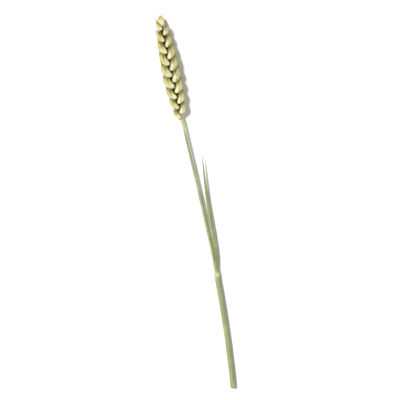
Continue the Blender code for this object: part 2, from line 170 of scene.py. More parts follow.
# The rachis
RACHIS_WIDTH = 2.0 * MM           # across the rows
RACHIS_THICKNESS = 1.5 * MM       # up and down
RACHIS_ZIGZAG = 0.45 * MM         # its corners stand out towards their spikelets
RACHIS_FLATTENS = 12.0            # it goes from round to flat in a twelfth of the ear's length
RACHIS_TAPER = 0.35               # it thins by this share over the ear's length
RACHIS_PAST_TIP = 1.5 * MM        # it ends this far past the root of the tip spikelet
SPIKELET_ROOT = 0.4 * MM          # from a corner out to the spikelet's foot
# Its foot: places from the foot of the ear, and how wide it is there
RACHIS_FOOT = ((-0.6 * MM, 0.88), (0.2 * MM, 1.07), (1.2 * MM, 1.13), (2.4 * MM, 1.0))
RACHIS_RING = 0.7 * MM            # length of the pale ring at the third of them
# Each length from one spikelet to the next: share of it, side that it leans to, and width
RACHIS_STEPS = ((0.0, 1.0, 1.25), (0.18, 0.85, 0.86), (0.5, 0.1, 0.92), (0.82, -0.7, 1.08))

# The closed body in a spikelet: its length, half width and half height. It is larger than the
# solids' one, so that no hole shows between the thin husks.
CORE = (13.0 * MM, 2.7 * MM, 2.9 * MM)
CORE_TUCK = 0.8 * MM              # its tip leans this far back towards the rachis
CORE_RIBS = 11.0
CORE_RIB = 0.03                   # height of its ribs, as a share of its width
CORE_TIP = 0.04                   # width of its ends, as a share of its middle
CORE_ACROSS = (0.45, 0.5, 1.9)    # peak, rise and fall of its width, for swell()
CORE_ABOVE = (0.58, 0.5, 2.4)     # and of its height

# The husks of a spikelet. Each has its foot's place (along, out, aside), its lean aside and
# outward in degrees, the way it faces (out, aside), and its length, width and depth.
GLUME = ((-0.5 * MM, -0.7 * MM, 1.5 * MM), (10.0, 0.0), (0.35, 0.94),
         (10.0 * MM, 4.2 * MM, 1.8 * MM))
LEMMA = ((0.6 * MM, 0.5 * MM, 1.1 * MM), (13.0, -1.5), (0.75, 0.65),
         (12.2 * MM, 4.4 * MM, 1.7 * MM))
MIDDLE_LEMMA = ((1.6 * MM, 0.6 * MM, 0.2 * MM), (3.0, -3.0), (1.0, 0.12),
                (11.6 * MM, 4.6 * MM, 1.6 * MM))
TWIN_FOOT = (3.9 * MM, 0.1 * MM, 0.5 * MM)  # of the fourth lemma, beside the middle one
TWIN_LEAN = math.radians(6.0)
TWIN_SIZE = (0.86, 0.82, 0.8)     # its length, width and depth against the middle one's
TWIN_ASIDE = 0.35                 # how far it faces aside
TWIN_AWN = 0.6
PALEA_BACK = 0.5 * MM             # a palea starts this far behind its lemma
PALEA_LEAN = math.radians(5.0)
PALEA_SIZE = (0.86, 0.72, 0.8)    # its length, width and depth against its lemma's

# How a husk bends and ends
HUSK_BELLY = 0.05                 # a husk's back curves out by this share of its length
HUSK_BEND = 0.03                  # and all of it bows away from the rachis by this share
HUSK_NOD = 0.04                   # its tip nods in by this share
HUSK_STARTS = 0.015               # its first row, as a share of its length
HUSK_FOOT = 0.38                  # under 0.5 its foot is blunter than round
HUSK_DEPTH = (0.34, 0.5, 1.9)     # peak, rise and fall of its depth, for swell()
HUSK_SINK = 0.15                  # its margins lie this share of its depth behind its middle line
HUSK_THINS = 0.7                  # share of its thickness that is gone at its margins
TIP_PINCH = 0.4                   # outlines of swell() lose this share more towards the tip
TIP_PINCH_FROM = 0.72             # from this share of their length on
HUSK_TIP_WIDTH = 0.05 * MM
HUSK_TIP_DEPTH = 0.06 * MM
KEEL_WIDTH = 0.13                 # as a share of half its width
CRUMPLE = 0.04 * MM               # unevenness of its surface
THIN_WITHIN = 1.2 * MM            # its skin thins where its half width is under this
AWN = (1.2 * MM, 1.6 * MM)        # awn of a lemma at the ear's foot, and what it gains to the tip
AWN_SPREAD = 0.9 * MM
TIP_AWN = 2.5 * MM
GLUME_POINT = 0.5 * MM
AWN_BASE = 0.80                   # an awn starts at this share of its husk's length
AWN_RADIUS = {"glume": 0.26 * MM, "lemma": 0.20 * MM}
AWN_SWAY = 0.05

# Faces that meet at more than these degrees keep a sharp edge
SHARP_ON_HUSKS = 60.0
SHARP_ON_STALK = 50.0

# How finely each surface is divided: rows along it, and columns or sides across it
HUSK_GRID = (26, 43)
PALEA_GRID = (14, 13)
AWN_GRID = (9, 6)
CORE_GRID = (22, 32)
RACHIS_GRID = (260, 24)
STRAW_GRID = (420, 40)
BORE_ROWS = 24
SHEATH_GRID = (300, 145)
BLADE_GRID = (300, 61)
AURICLE_GRID = (22, 14)
LIGULE_GRID = (9, 91)

# The stage
FLOOR_SIZE = 30.0
FLOOR_COLOUR = (0.88, 0.88, 0.87, 1.0)
WORLD_FADES = (0.33, 0.50)        # the world dims between these upward parts of a direction
WORLD_LIGHT = (1.0, 0.24)         # from this strength to that one
SUNS = (                          # name, where it shines from, how wide it is, its strength
    ("key", (-0.85, 0.85, 1.75), 14.0, 3.9),
    ("fill", (1.60, -0.80, 1.60), 30.0, 0.35),
)
CAMERA_LENS = 85.0
CAMERA_ROLL = math.radians(11.5)  # the ear leans this far to the left in the picture
VIEW_MARGIN = 1.05

# How each kind of husk is shaped: where it is widest, its width and how it narrows on its outer
# and its inner side, the height of its keel and of its nerves, how many nerves show, how thick
# it is, and where on the colour ramp, with its painted shade and highlight at the foot, it starts
FORMS = {
    "glume": {"peak": 0.28, "outer": (1.06, 2.0), "inner": (1.06, 1.3), "keel": 0.20,
              "nerve": 0.10 * MM, "nerves": 7, "skin": 0.17 * MM, "ramp_start": 0.0},
    "lemma": {"peak": 0.34, "outer": (1.0, 1.6), "inner": (1.0, 1.5), "keel": 0.08,
              "nerve": 0.08 * MM, "nerves": 6, "skin": 0.14 * MM, "ramp_start": 0.14},
    "palea": {"peak": 0.45, "outer": (0.82, 2.2), "inner": (0.82, 2.2), "keel": 0.0,
              "nerve": 0.0, "nerves": 2, "skin": 0.08 * MM, "ramp_start": 0.2},
}


def smooth(share):
    """Ease from 0 to 1."""
    share = np.clip(share, 0.0, 1.0)
    return share * share * (3.0 - 2.0 * share)


def between(low, high, share):
    """From one value to another, by a share."""
    return low + (high - low) * share


def unit(vector):
    """Vectors of length 1 along the given ones."""
    vector = np.asarray(vector, float)
    return vector / np.linalg.norm(vector, axis=-1, keepdims=True)


def middle_line(distance):
    """Points of the middle line at distances from the cut end."""
    distance = np.asarray(distance, float)
    rise = smooth((distance - LEVEL_LENGTH) / (STALK_LENGTH - LEVEL_LENGTH))
    height = between(CUT_HEIGHT, EAR_HEIGHT, rise)
    return np.stack([np.polyval(SWAY, distance) - BOX_CENTRE_X, distance - BOX_CENTRE_Y, height], -1)


def turns(sides):
    """Angles once round a ring."""
    return np.linspace(0.0, math.tau, sides + 1)[:-1]


def waves(table, turn, along=0.0, level=0.0):
    """Waves of (height, waves round, turn along, start) added to a level."""
    return sum((height * np.sin(count * turn + run * along + start)
                for height, count, run, start in table), level)


def line_axes(distance):
    """Unit vectors along the middle line, to its right and up."""
    step = 0.5 * MM
    distance = np.asarray(distance, float)
    along = unit(middle_line(distance + step) - middle_line(distance - step))
    right = unit(np.cross(along, (0.0, 0.0, 1.0)))
    return along, right, np.cross(right, along)


class Sheets:
    """Points, faces and values of many small surfaces, gathered into one piece."""

    def __init__(self):
        self.points, self.faces, self.values, self.count = [], [], [], 0

    def add(self, points, faces, values):
        """Points n x 3, faces m x 4 into them, and values as a dict of n numbers each."""
        self.points.append(points)
        self.faces.append(faces + self.count)
        self.values.append(values)
        self.count += len(points)

    def add_tube(self, rings, values):
        """A grid of rings, each closed on itself; its ends close to their middles."""
        rows, columns, _ = rings.shape
        index = np.arange(rows * columns).reshape(rows, columns)
        turned = np.roll(index, -1, axis=1)
        faces = [np.stack([index[:-1], turned[:-1], turned[1:], index[1:]], -1).reshape(-1, 4)]
        points = [rings.reshape(-1, 3)]
        spread = {name: [np.broadcast_to(value, (rows, columns)).reshape(-1)]
                  for name, value in values.items()}
        extra = rows * columns
        for row, flip in ((0, True), (rows - 1, False)):
            points.append(rings[row].mean(0)[None])
            for name, parts in spread.items():
                parts.append(parts[0][row * columns:row * columns + 1])
            loop, after = index[row], turned[row]
            middle = np.full(columns, extra)
            order = (after, loop) if flip else (loop, after)
            faces.append(np.stack([*order, middle, middle], -1))
            extra += 1
        self.add(np.concatenate(points), np.concatenate(faces),
                 {name: np.concatenate(parts) for name, parts in spread.items()})

    def add_shell(self, outer, inner, values):
        """A thin closed shell between two grids of the same size."""
        rows, columns, _ = outer.shape
        size = rows * columns
        top = np.arange(size).reshape(rows, columns)
        face = np.stack([top[:-1, :-1], top[:-1, 1:], top[1:, 1:], top[1:, :-1]], -1).reshape(-1, 4)
        border = np.concatenate([top[0, :-1], top[:-1, -1], top[-1, :0:-1], top[:0:-1, 0]])
        after = np.roll(border, -1)
        rim = np.stack([after, border, border + size, after + size], -1)
        faces = np.concatenate([face, face[:, ::-1] + size, rim])
        spread = {}
        for name, value in values.items():
            flat = np.broadcast_to(value, (rows, columns)).reshape(-1)
            spread[name] = np.concatenate([flat, flat])
        spread["inside"] = np.concatenate([np.zeros(size), np.ones(size)])
        self.add(np.concatenate([outer.reshape(-1, 3), inner.reshape(-1, 3)]), faces, spread)

    def piece(self, name, material, slot, sharp=SHARP_ON_HUSKS):
        """Make the object, smooth but for its sharp edges, and let it ride on the part."""
        for values, points in zip(self.values, self.points):
            # Each point gets its share of painted shade, by how deep it lies in the gaps of the head
            values["painted_gap_shade"] = painted_gap_shade(points)
        points = np.concatenate(self.points)
        points[:, 2] = np.maximum(points[:, 2], FLOOR_CLEAR)
        quads = np.concatenate(self.faces)
        triangle = quads[:, 2] == quads[:, 3]
        lengths = np.where(triangle, 3, 4)
        keep = np.ones(quads.shape, bool)
        keep[triangle, 3] = False
        corners = quads[keep]
        mesh = bpy.data.meshes.new(name)
        mesh.vertices.add(len(points))
        mesh.vertices.foreach_set("co", points.astype(np.float32).ravel())
        mesh.loops.add(len(corners))
        mesh.loops.foreach_set("vertex_index", corners.astype(np.int32))
        mesh.polygons.add(len(quads))
        mesh.polygons.foreach_set("loop_start", (np.cumsum(lengths) - lengths).astype(np.int32))
        mesh.update(calc_edges=True)
        mesh.validate()
        for value in self.values[0]:
            layer = mesh.attributes.new(value, "FLOAT", "POINT")
            whole = np.concatenate([part[value] for part in self.values])
            layer.data.foreach_set("value", whole.astype(np.float32))
        mesh.shade_smooth()
        mesh.set_sharp_from_angle(angle=math.radians(sharp))
        mesh.materials.append(material)
        made = bpy.data.objects.new(name, mesh)
        bpy.context.scene.collection.objects.link(made)
        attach(made, "root")
        return made


def grid_normals(grid):
    """Unit normals of a grid of points, along the cross of its columns and its rows."""
    down = np.gradient(grid, axis=0)
    over = np.gradient(grid, axis=1)
    normal = np.cross(over, down)
    length = np.linalg.norm(normal, axis=-1, keepdims=True)
    return normal / np.maximum(length, 1e-15)


def leaning(axis, towards, angle):
    """A unit axis leaned towards another by an angle."""
    return unit(axis * math.cos(angle) + towards * math.sin(angle))


def spikelet_husks(root, along, out, fan, size, awn, draw, spread=1.0):
    """The husks of one spikelet as (kind, values), in the order that the solids draw them."""
    husks = []

    def husk(kind, form, side, beard):
        foot, lean, facing, shape = form
        side *= spread
        axis = leaning(along, fan, math.radians(lean[0] * side + draw.uniform(-WOBBLE, WOBBLE)))
        axis = leaning(axis, out, math.radians(lean[1] + draw.uniform(-WOBBLE, WOBBLE)))
        start = root + (along * foot[0] + out * foot[1] + fan * (foot[2] * side)) * size
        face = out * facing[0] + fan * (facing[1] * side)
        husks.append((kind, (start, axis, face, out, *[value * size for value in shape], beard)))

    for side in (-1.0, 1.0):
        husk("glume", GLUME, side, GLUME_POINT)
        husk("lemma", LEMMA, side, awn)
    husk("middle", MIDDLE_LEMMA, draw.choice((-1.0, 1.0)), 0.8 * awn)
    return husks


def spikelet_distance(i):
    """Where a spikelet grows from the rachis; they stand closer at the ear's foot."""
    t = i / (SPIKELETS - 1)
    climb = CLIMB[0] * t + CLIMB[1] * t ** 2 + CLIMB[2] * t ** 3
    return STALK_LENGTH + FIRST_SPIKELET + (LAST_SPIKELET - FIRST_SPIKELET) * climb


def spikelet_row(i):
    """+1 for the row on the right, -1 for the one on the left."""
    return 1.0 if i % 2 else -1.0


def ear_plan():
    """Each spikelet's root, axes, size and husks, from the foot of the ear to its tip."""
    draw = random.Random(SEED)
    plan = []
    for i in range(SPIKELETS):
        t = i / (SPIKELETS - 1)
        along, right, up = line_axes(spikelet_distance(i))
        out = right * spikelet_row(i)
        size = float(spikelet_size(t))
        splay = SPLAY * (1.0 - SPLAY_LESS_AT_TIP * t * t)
        splay += math.radians(draw.uniform(-WOBBLE, WOBBLE))
        root = middle_line(spikelet_distance(i)) + out * (RACHIS_ZIGZAG + SPIKELET_ROOT)
        axis = leaning(along, out, splay)
        outward = leaning(out, -along, splay)
        awn = AWN[0] + AWN[1] * t * t + draw.uniform(0.0, AWN_SPREAD)
        husks = spikelet_husks(root, axis, outward, up, size, awn, draw)
        plan.append((root, axis, outward, up, size, husks))
    along, right, up = line_axes(STALK_LENGTH + TIP_SPIKELET)
    root = middle_line(STALK_LENGTH + TIP_SPIKELET)
    husks = spikelet_husks(root, along, up, right, TIP_SIZE, TIP_AWN, draw, TIP_SPREAD)
    plan.append((root, along, up, right, TIP_SIZE, husks))
    return plan


def spikelet_size(t):
    """Full size at the middle of the ear, less at its foot and its tip."""
    shrink = np.where(np.asarray(t) < 0.5, SHRINK_AT_FOOT, SHRINK_AT_TIP)
    return 1.0 - shrink * (1.0 - 2.0 * t) ** 2


def painted_gap_shade(points):
    """How deep points lie inside the head, as the mask of painted shade in its gaps: 0 at its
    outside, 1 at the middle line.
    """
    distance = points[:, 1] + BOX_CENTRE_Y
    _, right, up = line_axes(distance)
    away = points - middle_line(distance)
    t = np.clip((distance - STALK_LENGTH - HALF_SPIKELET) / LAST_SPIKELET, 0.0, 1.0)
    across = np.sum(away * right, -1) / (HEAD_HALF_WIDTH * spikelet_size(t))
    above = np.sum(away * up, -1) / (HEAD_HALF_HEIGHT * spikelet_size(t))
    closed = smooth((distance - STALK_LENGTH - FIRST_SPIKELET) / (1.5 * HALF_SPIKELET))
    open_tip = smooth((distance - STALK_LENGTH - LAST_SPIKELET) / HALF_SPIKELET)
    return np.clip(1.0 - np.hypot(across, above), 0.0, 1.0) * closed * (1.0 - open_tip)


def swell(u, peak, rise, fall):
    """Share of the full width at u: round at the foot, full at the peak, narrowing to the tip."""
    foot = (1.0 - np.clip(1.0 - u / peak, 0.0, 1.0) ** 2) ** rise
    tip = np.cos(0.5 * math.pi * np.clip((u - peak) / (1.0 - peak), 0.0, 1.0) ** fall)
    pinch = TIP_PINCH * smooth((u - TIP_PINCH_FROM) / (1.0 - TIP_PINCH_FROM))
    return np.where(u < peak, foot, tip * (1.0 - pinch))


def husk_axes(axis, face):
    """The way that a husk faces, square to its axis, and the way across it."""
    face = unit(face - axis * np.dot(face, axis))
    return face, np.cross(axis, face)


def husk_line(values, face, u):
    """Points of a husk's middle line at shares u of its length, and past it for its awn."""
    start, axis, _, out, length = values[:5]
    bulge = (face * HUSK_BELLY + out * HUSK_BEND) * length
    line = start + axis * (length * u) + bulge * np.sin(math.pi * np.minimum(u, 1.0))
    return line - face * (HUSK_NOD * length) * np.minimum(u, 1.05) ** 4


def husk_rise(u):
    """Share of a husk's full depth at a share u of its length."""
    return swell(u, *HUSK_DEPTH)


def add_husk(sheets, kind, values, draw, grid=HUSK_GRID):
    """One thin husk: a keeled boat with raised nerves, open on the side away from its face."""
    form = FORMS[kind]
    _, axis, face, out, _, width, depth, _ = values
    face, across = husk_axes(axis, face)
    outward = 1.0 if np.dot(across, out) > 0.0 else -1.0
    rows, columns = grid
    u = np.linspace(0.0, 1.0, rows)[:, None]
    u = between(HUSK_STARTS, 1.0, 0.6 * u + 0.4 * smooth(u))
    turn = np.linspace(-0.5 * math.pi, 0.5 * math.pi, columns)[None, :]
    x, deep = np.sin(turn), np.cos(turn)
    halves = [wide * swell(u, form["peak"], HUSK_FOOT, fall)
              for wide, fall in (form["outer"], form["inner"])]
    half = np.where(x * outward > 0.0, *halves) * (0.5 * width)
    half = np.maximum(half, HUSK_TIP_WIDTH)
    rise = np.maximum(depth * husk_rise(u), HUSK_TIP_DEPTH)
    keel = form["keel"] * np.exp(-(x / KEEL_WIDTH) ** 2) * smooth(u / 0.25)
    z = rise * (-HUSK_SINK + (1.0 + HUSK_SINK) * deep ** 0.9 + keel)
    nerve = 0.5 + 0.5 * np.cos(2.0 * form["nerves"] * turn)
    z = z + form["nerve"] * nerve * deep * smooth(u / 0.2) * smooth((1.02 - u) / 0.25)
    phase = [draw.uniform(0.0, math.tau) for _ in range(4)]
    crumple = np.sin(7.0 * u + phase[0]) * np.sin(2.0 * turn + phase[1])
    crumple = crumple + 0.5 * np.sin(15.0 * u + phase[2]) * np.sin(3.0 * turn + phase[3])
    z = z + CRUMPLE * crumple * smooth(u / 0.2)
    line = husk_line(values, face, u[..., None])
    outer = line + across * (x * half)[..., None] + face * z[..., None]
    thin = np.minimum(1.0, half / THIN_WITHIN)
    skin = form["skin"] * (1.0 - HUSK_THINS * np.abs(x) ** 3) * thin
    inner = outer - grid_normals(outer) * skin[..., None] * facing_sign(outer, face)
    sheets.add_shell(outer, inner, {"along": between(form["ramp_start"], 1.0, u), "across": x,
                                    "tone": draw.random(), "ring": 0.0})


def facing_sign(grid, face):
    """+1 if the grid's normals point the way that the face does, else -1."""
    middle = grid_normals(grid)[grid.shape[0] // 2, grid.shape[1] // 2]
    return 1.0 if np.dot(middle, face) > 0.0 else -1.0


def add_awn(sheets, kind, values, draw):
    """The stiff point that a husk's keel runs out into."""
    _, axis, face, _, length, _, depth, beard = values
    face, across = husk_axes(axis, face)
    base = AWN_BASE * length
    reach = length + beard - base
    thick = AWN_RADIUS[kind]
    sway = draw.uniform(-AWN_SWAY, AWN_SWAY)
    rows, sides = AWN_GRID
    s = np.linspace(0.0, 1.0, rows)[:, None]
    u = (base + reach * s) / length
    line = husk_line(values, face, u) + across * (sway * reach * s ** 2)
    lift = depth * husk_rise(np.minimum(u, 1.0)) * (1.0 + FORMS["lemma"]["keel"])
    line = line + face * (lift - 0.5 * thick) * (1.0 - smooth((u - 0.8) / 0.3))
    radius = thick * (1.0 - 0.85 * s ** 1.5)
    turn = turns(sides)
    spokes = across * np.cos(turn)[:, None] + face * np.sin(turn)[:, None]
    rings = line[:, None, :] + radius[..., None] * spokes[None]
    sheets.add_tube(rings, {"along": np.minimum(0.86 + 0.25 * s, 1.15), "across": 0.0,
                            "tone": draw.random(), "ring": 0.0, "inside": 0.0})


def add_floret_body(sheets, root, axis, out, fan, size):
    """The closed, pointed body of a spikelet's upper florets, which shows between its husks."""
    length, wide, high = (value * size for value in CORE)
    rows, sides = CORE_GRID
    u = np.linspace(0.0, 1.0, rows)[:, None]
    turn = turns(sides)
    ribbed = 1.0 + CORE_RIB * np.cos(CORE_RIBS * turn)
    across = wide * np.maximum(swell(u, *CORE_ACROSS), CORE_TIP) * ribbed * np.cos(turn)
    above = high * np.maximum(swell(u, *CORE_ABOVE), CORE_TIP) * ribbed * np.sin(turn)
    centre = root + axis * (length * u) - out * (CORE_TUCK * np.sin(0.5 * math.pi * u))
    spokes = out * across[..., None] + fan * above[..., None]
    # Its high inside value darkens it in the husk colour, as painted shade between the husks
    sheets.add_tube(centre[:, None, :] + spokes, {
        "along": 0.25 + 0.7 * u, "across": 0.85 * np.cos(turn)[None],
        "tone": 0.3, "ring": 0.0, "inside": 0.9,
    })


def behind_lemma(values, size):
    """The values of the palea behind a lemma."""
    start, along, face, out, length, width, depth, _ = values
    long, wide, deep = PALEA_SIZE
    inward = leaning(along, -out, PALEA_LEAN)
    return (start - out * PALEA_BACK * size, inward, -out - 0.3 * face, -0.5 * out,
            long * length, wide * width, deep * depth, 0.0)


def beside_middle(values, root, axis, outward, fan, size):
    """The values of the fourth lemma, on the other side from the middle one."""
    _, _, face, out, length, width, depth, beard = values
    long, wide, deep = TWIN_SIZE
    side = -1.0 if np.dot(face, fan) > 0.0 else 1.0
    foot = root + (axis * TWIN_FOOT[0] + outward * TWIN_FOOT[1] + fan * (TWIN_FOOT[2] * side)) * size
    return (foot, leaning(axis, fan, TWIN_LEAN * side), outward + fan * (TWIN_ASIDE * side), out,
            long * length, wide * width, deep * depth, TWIN_AWN * beard)


def build_ear(material):
    """The glumes, lemmas, paleas, floret bodies and points of the whole head."""
    draw = random.Random(SEED + 1)
    glumes, lemmas, florets, paleas, awns = (Sheets() for _ in range(5))
    for root, axis, outward, fan, size, husks in ear_plan():
        add_floret_body(paleas, root, axis, outward, fan, size)
        for kind, values in husks:
            if kind == "glume":
                add_husk(glumes, "glume", values, draw)
                add_awn(awns, "glume", values, draw)
                continue
            add_husk(lemmas if kind == "lemma" else florets, "lemma", values, draw)
            add_awn(awns, "lemma", values, draw)
            add_husk(paleas, "palea", behind_lemma(values, size), draw, PALEA_GRID)
            if kind == "middle":
                twin = beside_middle(values, root, axis, outward, fan, size)
                add_husk(florets, "lemma", twin, draw)
                add_awn(awns, "lemma", twin, draw)
    made = glumes.piece("ear_glumes", material, "husk")
    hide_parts("ear")
    lemmas.piece("ear_lemmas", material, "husk")
    florets.piece("ear_upper_florets", material, "husk")
    paleas.piece("ear_paleas", material, "husk")
    awns.piece("ear_points", material, "husk")


def build_rachis(material):
    """The ear's zigzag stem: wedge-shaped lengths, each widening to the spikelet on it."""
    sheets = Sheets()
    stops = [STALK_LENGTH + place for place, _ in RACHIS_FOOT]
    sides = [0.0] * len(RACHIS_FOOT)
    widths = [wide for _, wide in RACHIS_FOOT]
    for i in range(SPIKELETS):
        here = spikelet_distance(i)
        after = spikelet_distance(i + 1)
        row = spikelet_row(i)
        for share, side, wide in RACHIS_STEPS:
            stops.append(between(here, after, share))
            sides.append(row * side)
            widths.append(wide)
    stops, sides, widths = np.array(stops), np.array(sides), np.array(widths)
    rows, columns = RACHIS_GRID
    distance = np.linspace(stops[0], STALK_LENGTH + TIP_SPIKELET + RACHIS_PAST_TIP, rows)
    _, right, up = line_axes(distance)
    height = (distance - STALK_LENGTH) / EAR_LENGTH
    fade = smooth(height * RACHIS_FLATTENS)
    taper = 1.0 - RACHIS_TAPER * height
    wide = np.interp(distance, stops, widths)
    across = between(STRAW_RADIUS_EAR, 0.5 * RACHIS_WIDTH, fade) * taper * wide
    high = between(STRAW_RADIUS_EAR, 0.5 * RACHIS_THICKNESS, fade) * taper
    zigzag = RACHIS_ZIGZAG * np.interp(distance, stops, sides) * fade
    centre = middle_line(distance) + right * zigzag[:, None]
    ring = np.exp(-((distance - stops[2]) / RACHIS_RING) ** 2)
    turn = turns(columns)
    spokes = right[:, None, :] * (across[:, None] * np.cos(turn))[..., None]
    spokes = spokes + up[:, None, :] * (high[:, None] * np.sin(turn))[..., None]
    sheets.add_tube(centre[:, None, :] + spokes, {
        "along": height[:, None], "across": np.cos(turn)[None],
        "tone": 0.4, "ring": ring[:, None], "inside": 0.0,
    })
    sheets.piece("ear_rachis", material, "husk")


def ring_points(distance, radius, turn):
    """Round rings about the middle line; radius may be a number or a grid of them."""
    _, right, up = line_axes(distance)
    spokes = right[:, None, :] * np.cos(turn)[..., None] + up[:, None, :] * np.sin(turn)[..., None]
    radius = np.broadcast_to(radius, spokes.shape[:2])
    return middle_line(distance)[:, None, :] + spokes * radius[..., None]


def build_straw(material):
    """The stem: dry, faintly ribbed, hollow at the cut end and running up into the ear."""
    sheets = Sheets()
    rows, sides = STRAW_GRID
    turn = turns(sides)[None, :]
    outside = np.linspace(0.0, STALK_LENGTH + STRAW_INTO_EAR, rows)
    taper = smooth(outside / STALK_LENGTH)
    radius = between(STRAW_RADIUS_CUT, STRAW_RADIUS_EAR, taper)[:, None]
    d = outside[:, None] / MM
    uneven = waves(STRAW_WAVES, turn, d) + 0.012 * np.sin(0.21 * d + 0.4) * np.sin(turn + 0.05 * d)
    uneven = uneven - STRAW_GROOVE * np.cos(STRAW_GROOVES * turn)
    skin = radius * (1.0 + uneven - STRAW_TRIM)
    ragged = STRAW_RAGGED * waves(STRAW_CUT_WAVES, turn)
    inside = np.linspace(STRAW_BORE_DEPTH, 0.0, BORE_ROWS)
    bore = ring_points(inside, STRAW_BORE * (1.0 + 0.04 * np.sin(3.0 * turn)), turn)
    wall = ring_points(outside, skin, turn)
    axis = line_axes(np.zeros(1))[0][0]
    bore[-1] += axis * ragged[0][:, None]
    wall[0] += axis * ragged[0][:, None]
    rings = np.concatenate([bore, wall])
    distance = np.concatenate([inside, outside])[:, None] / STALK_LENGTH
    hollow = np.concatenate([np.ones(BORE_ROWS), np.zeros(rows)])[:, None]
    sheets.add_tube(rings, {"along": distance, "across": turn / math.tau, "tone": 0.5,
                            "ring": np.exp(-((distance - 1.0) / 0.03) ** 2), "inside": hollow})
    made = sheets.piece("straw_stem", material, "stem", SHARP_ON_STALK)
    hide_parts("straw")


def sheath_radius(distance):
    """The sheath's outer radius: it swells to the collar and draws in again at the rim."""
    bump = np.exp(-((distance - SHEATH_LENGTH + COLLAR_BULGE) / (0.5 * COLLAR_LENGTH)) ** 2)
    return between(SHEATH_OUTER, COLLAR_OUTER, bump)


def collar_share(distance):
    """1 at the pale collar, falling to 0 on both sides."""
    below, length = COLLAR_PALE
    return np.exp(-((distance - SHEATH_LENGTH + below) / length) ** 2)


def build_sheath(material):
    """A ribbed sheet rolled round the straw, its margins lapped and open at the throat."""
    sheets = Sheets()
    rows, columns = SHEATH_GRID
    distance = np.linspace(SHEATH_STARTS, SHEATH_LENGTH, rows)[:, None]
    w = np.linspace(-1.0, 1.0, columns)[None, :]
    opened = smooth((distance - SHEATH_LENGTH + THROAT_NOTCH) / THROAT_NOTCH)
    extent = math.pi + np.radians(SHEATH_OVERLAP - (SHEATH_OVERLAP + THROAT_OPEN) * opened)
    turn = w * extent
    lapped = SHEATH_LAP * (1.0 - opened)
    radius = sheath_radius(distance) - SHEATH_TRIM + lapped * 0.5 * (w - 1.0)
    radius = radius + SHEATH_RIB * np.cos(SHEATH_RIBS * turn) ** 2
    radius = radius * waves(SHEATH_WAVES, turn, distance / MM, 1.0)
    outer = ring_points(distance[:, 0], radius, turn)
    inner = ring_points(distance[:, 0], radius - SHEATH_SKIN * (1.0 - 0.6 * np.abs(w) ** 6), turn)
    cut = turn[0]
    ragged = np.sin(4.0 * cut) + 0.9 * np.sin(11.0 * cut + 1.0) * np.sin(2.3 * cut)
    ragged = SHEATH_RAGGED * (ragged + 0.8 * np.sin(29.0 * cut + 2.0) * np.sin(5.1 * cut))
    axis = line_axes(np.zeros(1))[0][0]
    outer[0] += axis * ragged[:, None]
    inner[0] += axis * ragged[:, None]
    sheets.add_shell(outer, inner, {
        "along": distance / SHEATH_LENGTH, "across": w, "tone": 0.5, "ring": collar_share(distance),
    })
    made = sheets.piece("leaf_sheath", material, "leaf", SHARP_ON_STALK)
    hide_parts("flag_leaf")


def blade_points(distance, w):
    """The blade's middle surface: a clasp round the straw, then a fold beside it."""
    _, right, up = (axis[:, None, :] for axis in line_axes(distance[:, 0]))
    centre = middle_line(distance[:, 0])[:, None, :]
    height = distance - SHEATH_LENGTH
    v = np.clip(height / BLADE_LENGTH, 0.0, 1.0)
    fold = smooth(height / BLADE_CLASP)[..., None]
    swing = FOLD_SWINGS_OFF * (1.0 - np.exp(-v * BLADE_LENGTH / SWING_LENGTH))
    stand_off = FOLD_STARTS_OFF + swing + FOLD_ENDS_OFF[0] * v + FOLD_ENDS_OFF[1] * v ** 3
    spine = centre + right * stand_off[..., None] - up * (BLADE_SINK * v)[..., None]
    taper = (1.0 - v ** BLADE_TAPER[0]) ** BLADE_TAPER[1]
    full = between(BLADE_FOOT_WIDTH, 1.0, smooth(v / BLADE_FULL_AT))
    leg = BLADE_LEG * full * taper + BLADE_TIP
    leg = leg * (1.0 + BLADE_EDGE[0] * np.sin(BLADE_EDGE[1] * v + np.sign(w)))
    half_fold = np.radians(between(*BLADE_FOLD, smooth(v / FOLD_SET_AT)))
    twist = between(*BLADE_TWIST, smooth((v - TWIST_FROM) / (1.0 - TWIST_FROM)))
    turn = BLADE_WRAP * w
    round_spokes = right * np.cos(turn)[..., None] + up * np.sin(turn)[..., None]
    clasp = centre + round_spokes * (SHEATH_INNER + BLADE_CLEAR)
    rounded = np.sqrt(w ** 2 + BLADE_ROUND ** 2)
    reach = rounded - BLADE_ROUND
    lean = np.radians(twist) + half_fold * w / rounded
    spread = up * np.sin(lean)[..., None] - right * np.cos(lean)[..., None]
    folded = spine + spread * (leg * reach)[..., None]
    return between(clasp, folded, fold)


def build_blade(material):
    """The narrow blade, folded along its midrib, ribbed and twisting towards its tip."""
    sheets = Sheets()
    rows, columns = BLADE_GRID
    share = np.linspace(0.0, 1.0, rows)[:, None] ** 1.1
    distance = SHEATH_LENGTH - BLADE_STARTS + (BLADE_LENGTH + BLADE_STARTS) * share
    w = np.linspace(-1.0, 1.0, columns)[None, :]
    surface = blade_points(distance, w)
    normal = grid_normals(surface)
    outward = facing_sign(surface, line_axes(SHEATH_LENGTH)[1])
    rib = BLADE_RIB * np.cos(BLADE_RIBS * math.pi * w) ** 2 * (1.0 - share ** 4)
    midrib = MIDRIB * np.exp(-(w / 0.07) ** 2) * (1.0 - 0.7 * share)
    skin = BLADE_SKIN * (1.0 - 0.5 * np.abs(w) ** 5) * (1.0 - 0.4 * share)
    outer = surface + normal * (outward * (0.5 * skin + rib + midrib))[..., None]
    inner = surface - normal * (outward * 0.5 * skin)[..., None]
    sheets.add_shell(outer, inner, {
        "along": share, "across": w, "tone": 0.3, "ring": collar_share(distance),
    })
    sheets.piece("leaf_blade", material, "leaf", SHARP_ON_STALK)


